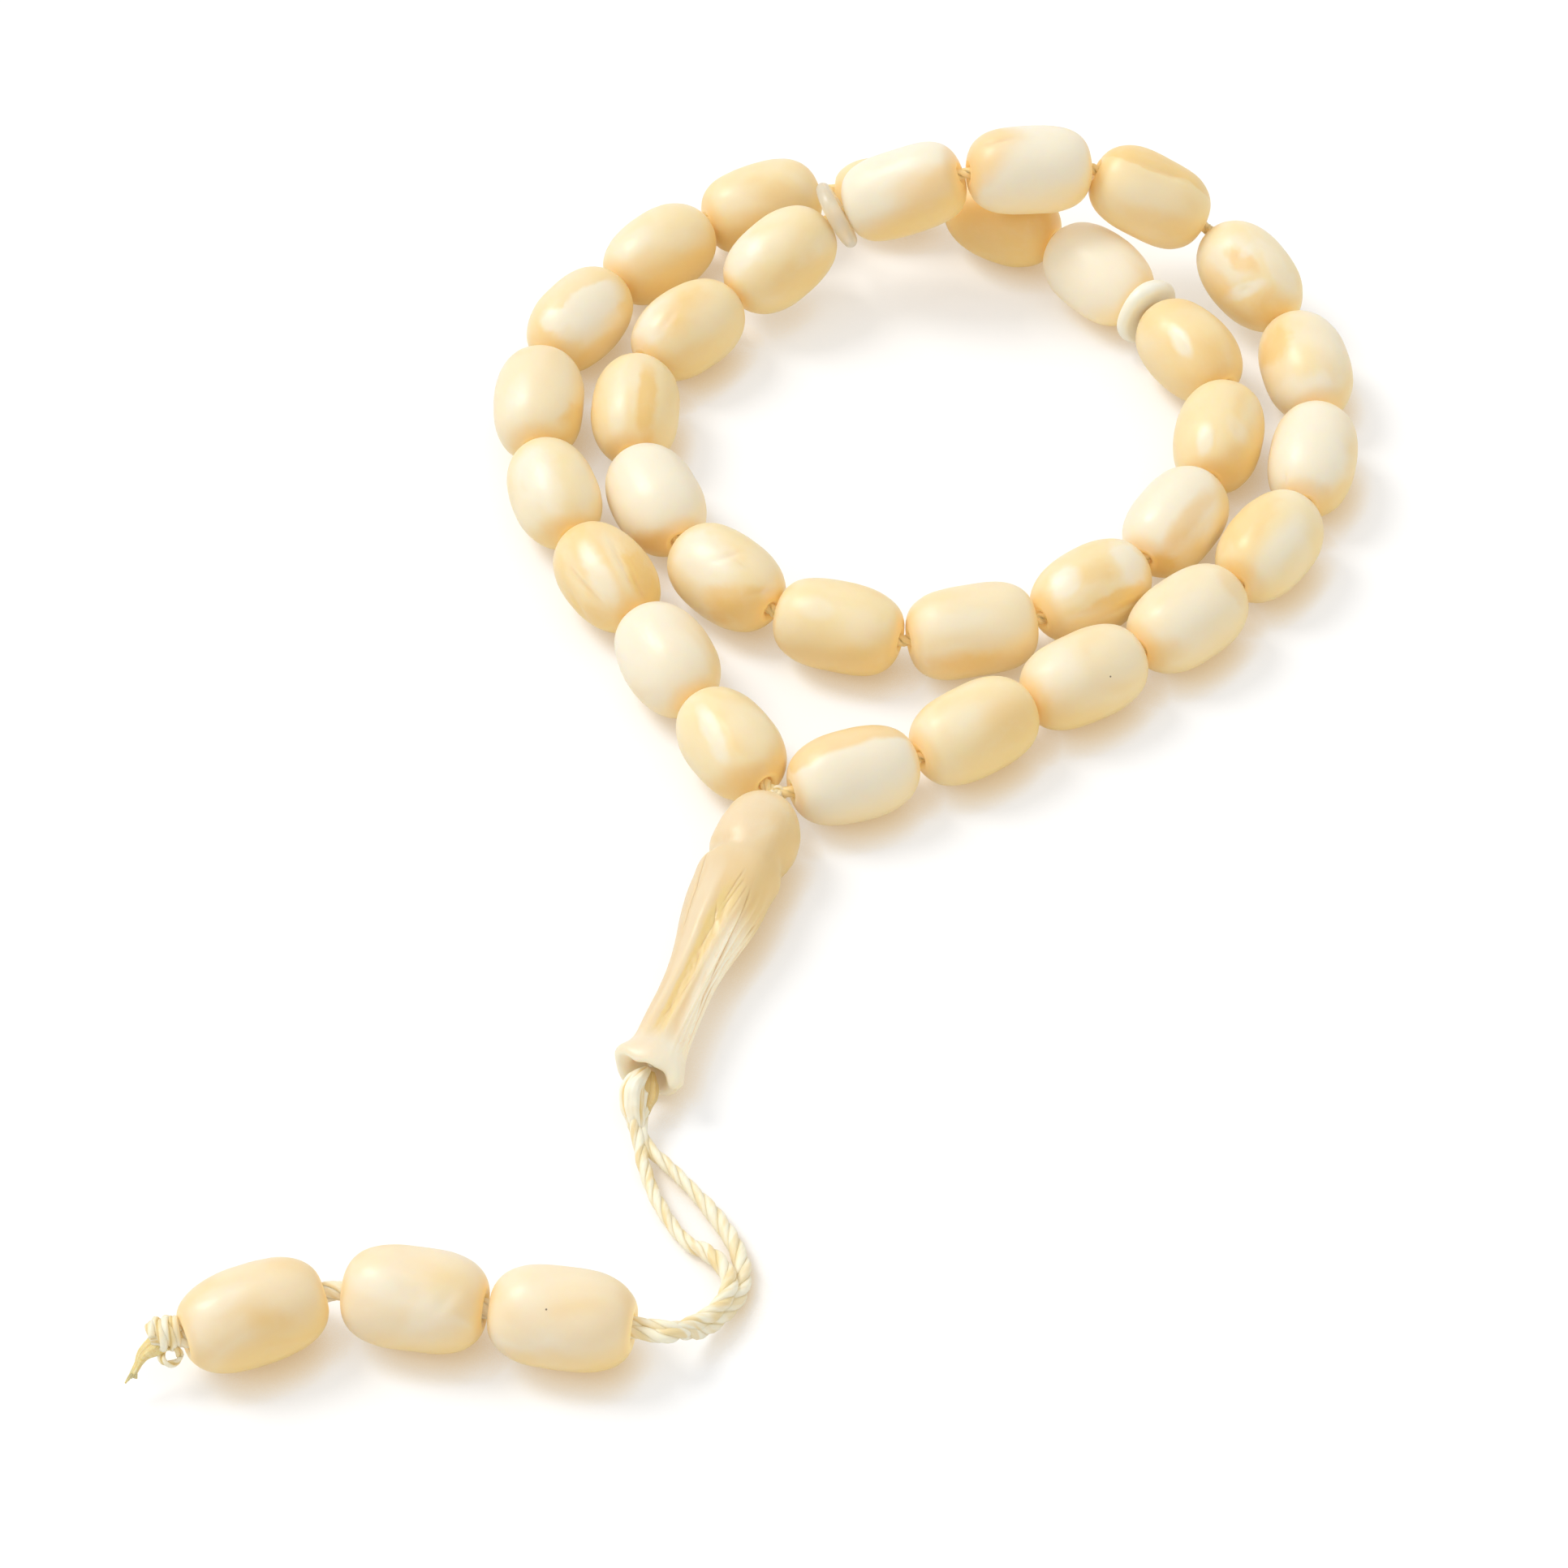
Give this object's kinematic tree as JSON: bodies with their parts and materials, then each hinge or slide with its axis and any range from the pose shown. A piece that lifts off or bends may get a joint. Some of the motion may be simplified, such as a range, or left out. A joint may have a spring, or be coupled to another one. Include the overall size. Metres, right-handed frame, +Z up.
{
  "type": "misbaha prayer beads",
  "caption": "String of barrel beads in runs parted by thin discs, gathered by a flared imame with a short beaded tail, lying in a double coil.",
  "frame": {"origin": "middle of the footprint of the laid-down set, on the table under the lowest facets", "axes": "+Z up from the table; +Y from the tail towards the far side of the coil; +X to the right when the tail is nearest"},
  "size_m": [0.117, 0.1578, 0.0184],
  "materials": {
    "bead_01": "satin",
    "bead_02": "satin",
    "bead_03": "satin",
    "bead_04": "satin",
    "bead_05": "satin",
    "bead_06": "satin",
    "bead_07": "satin",
    "bead_08": "satin",
    "bead_09": "satin",
    "bead_10": "satin",
    "bead_11": "satin",
    "bead_12": "satin",
    "bead_13": "satin",
    "bead_14": "satin",
    "bead_15": "satin",
    "bead_16": "satin",
    "bead_17": "satin",
    "bead_18": "satin",
    "bead_19": "satin",
    "bead_20": "satin",
    "bead_21": "satin",
    "bead_22": "satin",
    "bead_23": "satin",
    "bead_24": "satin",
    "bead_25": "satin",
    "bead_26": "satin",
    "bead_27": "satin",
    "bead_28": "satin",
    "bead_29": "satin",
    "bead_30": "satin",
    "bead_31": "satin",
    "bead_32": "satin",
    "bead_33": "satin",
    "cord_imame": "twisted silky yarn",
    "cord_inner_turn": "twisted silky yarn",
    "cord_outer_left": "twisted silky yarn",
    "cord_outer_right": "twisted silky yarn",
    "cord_tail_end": "twisted silky yarn",
    "cord_tail_lower": "twisted silky yarn",
    "cord_tail_mid": "twisted silky yarn",
    "cord_tail_upper": "twisted silky yarn",
    "cord_yoke": "twisted silky yarn",
    "imame": "satin, translucent",
    "separator_1": "satin, translucent",
    "separator_2": "satin, translucent",
    "tail_bead_1": "satin",
    "tail_bead_2": "satin",
    "tail_bead_3": "satin"
  },
  "bodies": {
    "inner_turn": {"cord_inner_turn": "cord_inner_turn"},
    "outer_turn": {"cord_outer_left": "cord_outer_left", "cord_outer_right": "cord_outer_right"},
    "yoke": {"cord_yoke": "cord_yoke"},
    "imame_cord": {"cord_imame": "cord_imame"},
    "imame": {"imame": "imame"},
    "tail_upper": {"cord_tail_upper": "cord_tail_upper"},
    "tail_lower": {"cord_tail_lower": "cord_tail_lower"},
    "tail_mid": {"cord_tail_mid": "cord_tail_mid"},
    "tail_end": {"cord_tail_end": "cord_tail_end"},
    "bead_01": {"bead_01": "bead_01"},
    "bead_02": {"bead_02": "bead_02"},
    "bead_03": {"bead_03": "bead_03"},
    "bead_04": {"bead_04": "bead_04"},
    "bead_05": {"bead_05": "bead_05"},
    "bead_06": {"bead_06": "bead_06"},
    "bead_07": {"bead_07": "bead_07"},
    "bead_08": {"bead_08": "bead_08"},
    "bead_09": {"bead_09": "bead_09"},
    "bead_10": {"bead_10": "bead_10"},
    "bead_11": {"bead_11": "bead_11"},
    "separator_1": {"separator_1": "separator_1"},
    "bead_12": {"bead_12": "bead_12"},
    "bead_13": {"bead_13": "bead_13"},
    "bead_14": {"bead_14": "bead_14"},
    "bead_15": {"bead_15": "bead_15"},
    "bead_16": {"bead_16": "bead_16"},
    "bead_17": {"bead_17": "bead_17"},
    "bead_18": {"bead_18": "bead_18"},
    "bead_19": {"bead_19": "bead_19"},
    "bead_20": {"bead_20": "bead_20"},
    "bead_21": {"bead_21": "bead_21"},
    "bead_22": {"bead_22": "bead_22"},
    "separator_2": {"separator_2": "separator_2"},
    "bead_23": {"bead_23": "bead_23"},
    "bead_24": {"bead_24": "bead_24"},
    "bead_25": {"bead_25": "bead_25"},
    "bead_26": {"bead_26": "bead_26"},
    "bead_27": {"bead_27": "bead_27"},
    "bead_28": {"bead_28": "bead_28"},
    "bead_29": {"bead_29": "bead_29"},
    "bead_30": {"bead_30": "bead_30"},
    "bead_31": {"bead_31": "bead_31"},
    "bead_32": {"bead_32": "bead_32"},
    "bead_33": {"bead_33": "bead_33"},
    "tail_bead_1": {"tail_bead_1": "tail_bead_1"},
    "tail_bead_2": {"tail_bead_2": "tail_bead_2"},
    "tail_bead_3": {"tail_bead_3": "tail_bead_3"}
  },
  "joints": [
    {"name": "bend_1_imame_swing", "type": "hinge", "parent": "yoke", "child": "imame_cord", "pos_m": [-0.00077, -0.01082, 0.00439], "axis": [0, 0, 1], "range_deg": [-14, 14]},
    {"name": "bend_2_tail_below_knot", "type": "hinge", "parent": "imame_cord", "child": "tail_upper", "pos_m": [-0.01299, -0.04552, 0.00347], "axis": [0, 0, 1], "range_deg": [-15, 15]},
    {"name": "bend_3_tail_before_beads", "type": "hinge", "parent": "tail_upper", "child": "tail_lower", "pos_m": [-0.00397, -0.06692, 0.00125], "axis": [0, 0, 1], "range_deg": [-20, 20]},
    {"name": "bend_4_tail_between_first_and_second", "type": "hinge", "parent": "tail_lower", "child": "tail_mid", "pos_m": [-0.02636, -0.07193, 0.00453], "axis": [0, 0, 1], "range_deg": [-6, 6]},
    {"name": "bend_5_tail_before_last_bead", "type": "hinge", "parent": "tail_mid", "child": "tail_end", "pos_m": [-0.04034, -0.06995, 0.00453], "axis": [0, 0, 1], "range_deg": [-22, 22]},
    {"name": "glide_tail_bead_1", "type": "slide", "parent": "tail_lower", "child": "tail_bead_1", "axis": [0.9874, -0.1584, 0], "range_m": [0, 0.003]},
    {"name": "lift_outer_turn", "type": "hinge", "parent": "inner_turn", "child": "outer_turn", "pos_m": [0.04446, 0.06531, 0.0076], "axis": [-0.9708, 0.2271, -0.0771], "range_deg": [0, 18]},
    {"name": "lift_yoke_droop", "type": "hinge", "parent": "outer_turn", "child": "yoke", "pos_m": [-0.00077, -0.01082, 0.00439], "axis": [-0.9708, 0.2271, -0.0771], "range_deg": [-34, 0]},
    {"name": "spin_imame", "type": "hinge", "parent": "imame_cord", "child": "imame", "pos_m": [-0.00702, -0.02854, 0.00392], "axis": [-0.3321, -0.9429, -0.0248], "continuous": true},
    {"name": "spin_tail_bead_2", "type": "hinge", "parent": "tail_mid", "child": "tail_bead_2", "pos_m": [-0.03293, -0.07087, 0.00453], "axis": [-0.9871, 0.1599, 0], "continuous": true},
    {"name": "spin_tail_bead_3", "type": "hinge", "parent": "tail_end", "child": "tail_bead_3", "pos_m": [-0.04732, -0.0726, 0.00453], "axis": [-0.9211, -0.3892, 0], "continuous": true},
    {"name": "spin_bead_01", "type": "hinge", "parent": "outer_turn", "child": "bead_01", "pos_m": [0.00666, -0.00827, 0.00439], "axis": [0.9455, 0.3256, 0], "continuous": true},
    {"name": "spin_bead_02", "type": "hinge", "parent": "outer_turn", "child": "bead_02", "pos_m": [0.01853, -0.00245, 0.00439], "axis": [0.8362, 0.5485, 0], "continuous": true},
    {"name": "spin_bead_03", "type": "hinge", "parent": "outer_turn", "child": "bead_03", "pos_m": [0.02947, 0.00458, 0.00439], "axis": [0.8464, 0.5325, 0], "continuous": true},
    {"name": "spin_bead_04", "type": "hinge", "parent": "outer_turn", "child": "bead_04", "pos_m": [0.04002, 0.01244, 0.00439], "axis": [0.7522, 0.6589, 0], "continuous": true},
    {"name": "spin_bead_05", "type": "hinge", "parent": "outer_turn", "child": "bead_05", "pos_m": [0.04872, 0.0224, 0.00439], "axis": [0.5513, 0.8343, 0], "continuous": true},
    {"name": "spin_bead_06", "type": "hinge", "parent": "outer_turn", "child": "bead_06", "pos_m": [0.05378, 0.03466, 0.00439], "axis": [0.1977, 0.9803, 0], "continuous": true},
    {"name": "spin_bead_07", "type": "hinge", "parent": "outer_turn", "child": "bead_07", "pos_m": [0.05387, 0.04793, 0.00439], "axis": [-0.1854, 0.9827, 0], "continuous": true},
    {"name": "spin_bead_08", "type": "hinge", "parent": "outer_turn", "child": "bead_08", "pos_m": [0.04862, 0.06001, 0.00592], "axis": [-0.5784, 0.7824, 0.2309], "continuous": true},
    {"name": "spin_bead_09", "type": "hinge", "parent": "inner_turn", "child": "bead_09", "pos_m": [0.03839, 0.06709, 0.01042], "axis": [-0.8837, 0.2177, 0.4144], "continuous": true},
    {"name": "spin_bead_10", "type": "hinge", "parent": "inner_turn", "child": "bead_10", "pos_m": [0.02553, 0.06756, 0.01388], "axis": [-0.9857, -0.1468, 0.0829], "continuous": true},
    {"name": "spin_bead_11", "type": "hinge", "parent": "inner_turn", "child": "bead_11", "pos_m": [0.01248, 0.06648, 0.0118], "axis": [-0.9209, -0.0042, -0.3898], "continuous": true},
    {"name": "spin_separator_1", "type": "hinge", "parent": "inner_turn", "child": "separator_1", "pos_m": [0.00552, 0.06612, 0.00882], "axis": [-0.8805, -0.2794, -0.3829], "continuous": true},
    {"name": "spin_bead_12", "type": "hinge", "parent": "inner_turn", "child": "bead_12", "pos_m": [-0.00039, 0.0618, 0.00652], "axis": [-0.738, -0.6144, -0.2788], "continuous": true},
    {"name": "spin_bead_13", "type": "hinge", "parent": "inner_turn", "child": "bead_13", "pos_m": [-0.00994, 0.0533, 0.00454], "axis": [-0.7243, -0.689, -0.025], "continuous": true},
    {"name": "spin_bead_14", "type": "hinge", "parent": "inner_turn", "child": "bead_14", "pos_m": [-0.01519, 0.04164, 0.00439], "axis": [-0.0428, -0.9991, 0], "continuous": true},
    {"name": "spin_bead_15", "type": "hinge", "parent": "inner_turn", "child": "bead_15", "pos_m": [-0.01294, 0.02886, 0.00439], "axis": [0.3827, -0.9239, 0], "continuous": true},
    {"name": "spin_bead_16", "type": "hinge", "parent": "inner_turn", "child": "bead_16", "pos_m": [-0.00571, 0.01808, 0.00439], "axis": [0.7087, -0.7055, 0], "continuous": true},
    {"name": "spin_bead_17", "type": "hinge", "parent": "inner_turn", "child": "bead_17", "pos_m": [0.00539, 0.01138, 0.00439], "axis": [0.9545, -0.2981, 0], "continuous": true},
    {"name": "spin_bead_18", "type": "hinge", "parent": "inner_turn", "child": "bead_18", "pos_m": [0.01861, 0.0108, 0.00439], "axis": [0.9773, 0.2119, 0], "continuous": true},
    {"name": "spin_bead_19", "type": "hinge", "parent": "inner_turn", "child": "bead_19", "pos_m": [0.03064, 0.0163, 0.00439], "axis": [0.7987, 0.6017, 0], "continuous": true},
    {"name": "spin_bead_20", "type": "hinge", "parent": "inner_turn", "child": "bead_20", "pos_m": [0.03947, 0.0258, 0.00439], "axis": [0.5415, 0.8407, 0], "continuous": true},
    {"name": "spin_bead_21", "type": "hinge", "parent": "inner_turn", "child": "bead_21", "pos_m": [0.0444, 0.0378, 0.00439], "axis": [0.2069, 0.9784, 0], "continuous": true},
    {"name": "spin_bead_22", "type": "hinge", "parent": "inner_turn", "child": "bead_22", "pos_m": [0.04196, 0.05031, 0.00439], "axis": [-0.5648, 0.8253, 0], "continuous": true},
    {"name": "spin_separator_2", "type": "hinge", "parent": "inner_turn", "child": "separator_2", "pos_m": [0.03779, 0.0563, 0.00439], "axis": [-0.6051, 0.7962, 0], "continuous": true},
    {"name": "spin_bead_23", "type": "hinge", "parent": "inner_turn", "child": "bead_23", "pos_m": [0.033, 0.06186, 0.00439], "axis": [-0.6612, 0.7502, 0], "continuous": true},
    {"name": "spin_bead_24", "type": "hinge", "parent": "inner_turn", "child": "bead_24", "pos_m": [0.02315, 0.07026, 0.00439], "axis": [-0.8465, 0.5324, 0], "continuous": true},
    {"name": "spin_bead_25", "type": "hinge", "parent": "inner_turn", "child": "bead_25", "pos_m": [0.01084, 0.07435, 0.00439], "axis": [-0.9965, 0.0835, 0], "continuous": true},
    {"name": "spin_bead_26", "type": "hinge", "parent": "outer_turn", "child": "bead_26", "pos_m": [-0.00232, 0.07222, 0.00439], "axis": [-0.9196, -0.3928, 0], "continuous": true},
    {"name": "spin_bead_27", "type": "hinge", "parent": "outer_turn", "child": "bead_27", "pos_m": [-0.01303, 0.0649, 0.00439], "axis": [-0.7034, -0.7108, 0], "continuous": true},
    {"name": "spin_bead_28", "type": "hinge", "parent": "outer_turn", "child": "bead_28", "pos_m": [-0.02122, 0.05495, 0.00439], "axis": [-0.5595, -0.8289, 0], "continuous": true},
    {"name": "spin_bead_29", "type": "hinge", "parent": "outer_turn", "child": "bead_29", "pos_m": [-0.02515, 0.04262, 0.00439], "axis": [-0.0281, -0.9996, 0], "continuous": true},
    {"name": "spin_bead_30", "type": "hinge", "parent": "outer_turn", "child": "bead_30", "pos_m": [-0.0232, 0.02979, 0.00439], "axis": [0.322, -0.9468, 0], "continuous": true},
    {"name": "spin_bead_31", "type": "hinge", "parent": "outer_turn", "child": "bead_31", "pos_m": [-0.01767, 0.01812, 0.00439], "axis": [0.5273, -0.8497, 0], "continuous": true},
    {"name": "spin_bead_32", "type": "hinge", "parent": "outer_turn", "child": "bead_32", "pos_m": [-0.01145, 0.00694, 0.00439], "axis": [0.4444, -0.8959, 0], "continuous": true},
    {"name": "spin_bead_33", "type": "hinge", "parent": "outer_turn", "child": "bead_33", "pos_m": [-0.00509, -0.0042, 0.00439], "axis": [0.5456, -0.838, 0], "continuous": true}
  ],
  "couplings": [
    {"joint": "lift_yoke_droop", "follows": "lift_outer_turn", "ratio": -1.8}
  ]
}
